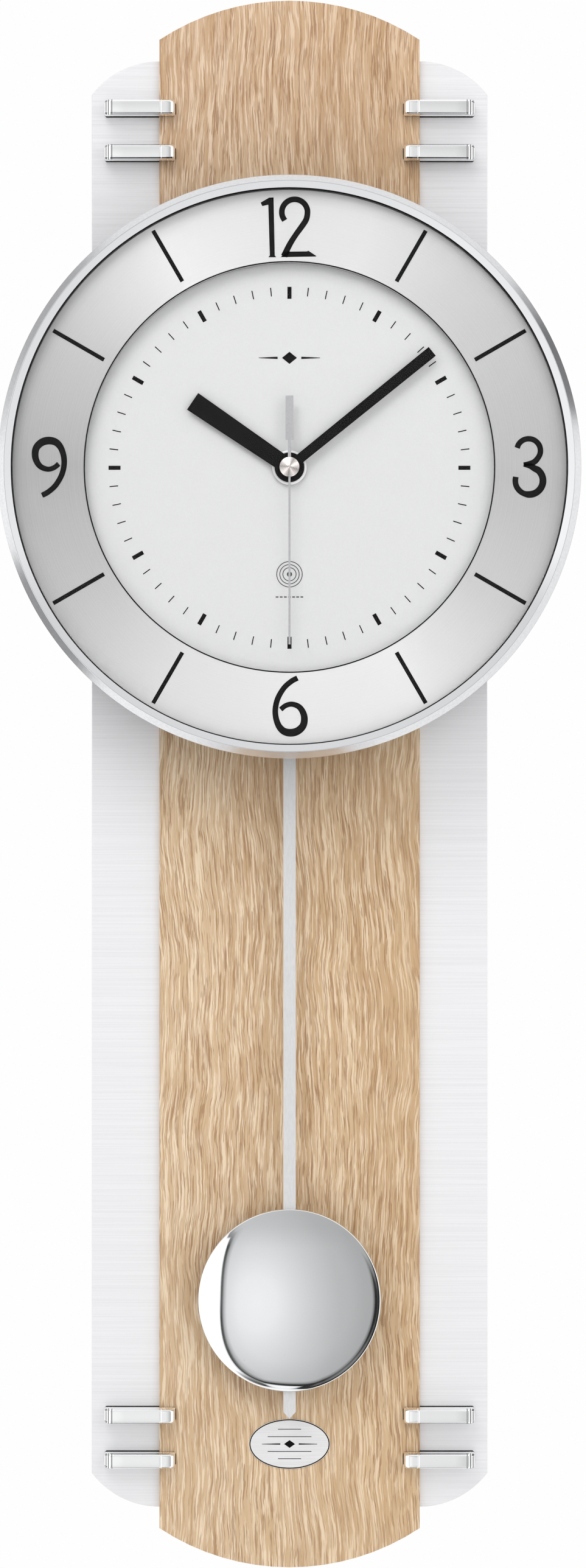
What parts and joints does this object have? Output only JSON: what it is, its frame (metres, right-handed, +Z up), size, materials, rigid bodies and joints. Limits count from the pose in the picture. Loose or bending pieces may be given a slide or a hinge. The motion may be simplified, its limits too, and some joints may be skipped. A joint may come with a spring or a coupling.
{
  "type": "pendulum wall clock",
  "caption": "Wall clock with a round glazed dial before a tall arched oak and brushed aluminium back, and a long swinging pendulum with a domed chrome bob.",
  "frame": {"origin": "centre of the keyhole's round entry on the wall plane", "axes": "+Z up, +X to the right seen from the front, the dial faces -Y and the wall is the plane y = 0"},
  "size_m": [0.2464, 0.0861, 0.68],
  "materials": {
    "oak": "light oak foil with a vertical grain, satin",
    "brushed_aluminium": "brushed across, satin",
    "black_board": "black lacquered fibreboard, matte",
    "batten_wood": "raw fibreboard, matte",
    "zinc_steel": "zinc plated, satin",
    "pad_rubber": "matte",
    "chrome": "polished",
    "plate_white": "silver white foil, satin",
    "case_black": "fine texture, matte",
    "bezel_silver": "satin outside, polished inner facet",
    "clear_glass": "flat mineral glass, polished",
    "seal_black": "matte",
    "ring_silver": "spun satin",
    "spacer_grey": "matte",
    "dial_white": "matt white lacquer",
    "movement_plastic": "matte",
    "nut_nickel": "nickel plated",
    "gear_plastic": "natural, satin",
    "circuit_green": "solder mask",
    "ferrite_dark": "matte",
    "copper_wire": "enamelled",
    "battery_case": "gloss",
    "button_grey": "satin",
    "hand_black": "satin black",
    "hand_grey": "satin",
    "rod_white": "satin silver white"
  },
  "bodies": {
    "root": {"wood_front_panel": "oak", "side_panel_left": "brushed_aluminium", "side_panel_right": "brushed_aluminium", "carrier_board": "black_board", "upper_batten": "batten_wood", "lower_batten": "batten_wood", "keyhole_hanger": "zinc_steel", "hanger_screws": "zinc_steel", "batten_screws": "zinc_steel", "panel_screws": "zinc_steel", "case_screws": "zinc_steel", "bezel_screws": "zinc_steel", "clip_nuts": "zinc_steel", "wall_pads": "pad_rubber", "upper_clips": "chrome", "lower_clips": "chrome", "oval_plate": "plate_white", "case_back": "case_black", "case_standoffs": "case_black", "bezel": "bezel_silver", "glass": "clear_glass", "glass_gasket": "seal_black", "numeral_ring": "ring_silver", "ring_spacer": "spacer_grey", "inner_dial": "dial_white", "movement_front_housing": "movement_plastic", "movement_rear_cover": "movement_plastic", "rubber_washer": "seal_black", "fixing_nut": "nut_nickel", "middle_plate": "gear_plastic", "circuit_board": "circuit_green", "ferrite_rod": "ferrite_dark", "antenna_winding": "copper_wire", "motor_coils": "copper_wire", "drive_coil": "copper_wire", "battery": "battery_case", "battery_contacts": "nut_nickel", "motor_stators": "zinc_steel", "pendulum_bracket": "movement_plastic", "pivot_pin": "zinc_steel"},
    "pendulum": {"pendulum_lever": "button_grey", "lever_magnet": "ferrite_dark", "pendulum_rod": "rod_white", "bob_shell": "chrome", "bob_back_plate": "zinc_steel", "bob_strap": "zinc_steel"},
    "second_hand": {"second_wheel": "gear_plastic", "second_hand": "hand_grey", "hand_cap": "chrome"},
    "second_intermediate": {"second_intermediate_wheel": "gear_plastic"},
    "second_motor": {"second_rotor": "gear_plastic"},
    "minute_hand": {"minute_wheel": "gear_plastic", "minute_hand": "hand_black"},
    "minute_intermediate": {"minute_intermediate_wheel": "gear_plastic"},
    "minute_motor": {"minute_rotor": "gear_plastic"},
    "motion_work": {"motion_wheel": "gear_plastic"},
    "hour_hand": {"hour_wheel": "gear_plastic", "hour_hand": "hand_black"},
    "set_button": {"set_button": "button_grey"},
    "reset_button": {"reset_button": "button_grey"}
  },
  "joints": [
    {"name": "pendulum_swing", "type": "hinge", "parent": "root", "child": "pendulum", "pos_m": [0, -0.043, -0.135], "axis": [0, 1, 0], "range_deg": [-4, 4]},
    {"name": "second_hand_turn", "type": "hinge", "parent": "root", "child": "second_hand", "pos_m": [0, -0.079, -0.141], "axis": [0, 1, 0], "continuous": true},
    {"name": "second_intermediate_turn", "type": "hinge", "parent": "root", "child": "second_intermediate", "pos_m": [0.0084, -0.06, -0.141], "axis": [0, 1, 0], "continuous": true},
    {"name": "second_motor_turn", "type": "hinge", "parent": "root", "child": "second_motor", "pos_m": [0.012, -0.06, -0.13476], "axis": [0, 1, 0], "continuous": true},
    {"name": "minute_hand_turn", "type": "hinge", "parent": "root", "child": "minute_hand", "pos_m": [0, -0.078, -0.141], "axis": [0, 1, 0], "continuous": true},
    {"name": "minute_intermediate_turn", "type": "hinge", "parent": "root", "child": "minute_intermediate", "pos_m": [-0.0084, -0.06, -0.141], "axis": [0, 1, 0], "continuous": true},
    {"name": "minute_motor_turn", "type": "hinge", "parent": "root", "child": "minute_motor", "pos_m": [-0.012, -0.06, -0.13476], "axis": [0, 1, 0], "continuous": true},
    {"name": "motion_work_turn", "type": "hinge", "parent": "root", "child": "motion_work", "pos_m": [0, -0.068, -0.153], "axis": [0, 1, 0], "continuous": true},
    {"name": "hour_hand_turn", "type": "hinge", "parent": "root", "child": "hour_hand", "pos_m": [0, -0.0765, -0.141], "axis": [0, 1, 0], "continuous": true},
    {"name": "set_button_press", "type": "slide", "parent": "root", "child": "set_button", "axis": [0, -1, 0], "range_m": [0, 0.0008], "stiffness_N_per_m": 400, "springref_m": -0.0004},
    {"name": "reset_button_press", "type": "slide", "parent": "root", "child": "reset_button", "axis": [0, -1, 0], "range_m": [0, 0.0008], "stiffness_N_per_m": 400, "springref_m": -0.0004}
  ],
  "couplings": [
    {"joint": "second_intermediate_turn", "follows": "second_hand_turn", "ratio": -6},
    {"joint": "second_motor_turn", "follows": "second_hand_turn", "ratio": 30},
    {"joint": "minute_intermediate_turn", "follows": "minute_hand_turn", "ratio": -6},
    {"joint": "minute_motor_turn", "follows": "minute_hand_turn", "ratio": 30},
    {"joint": "motion_work_turn", "follows": "minute_hand_turn", "ratio": -0.33333},
    {"joint": "hour_hand_turn", "follows": "minute_hand_turn", "ratio": 0.083333}
  ]
}
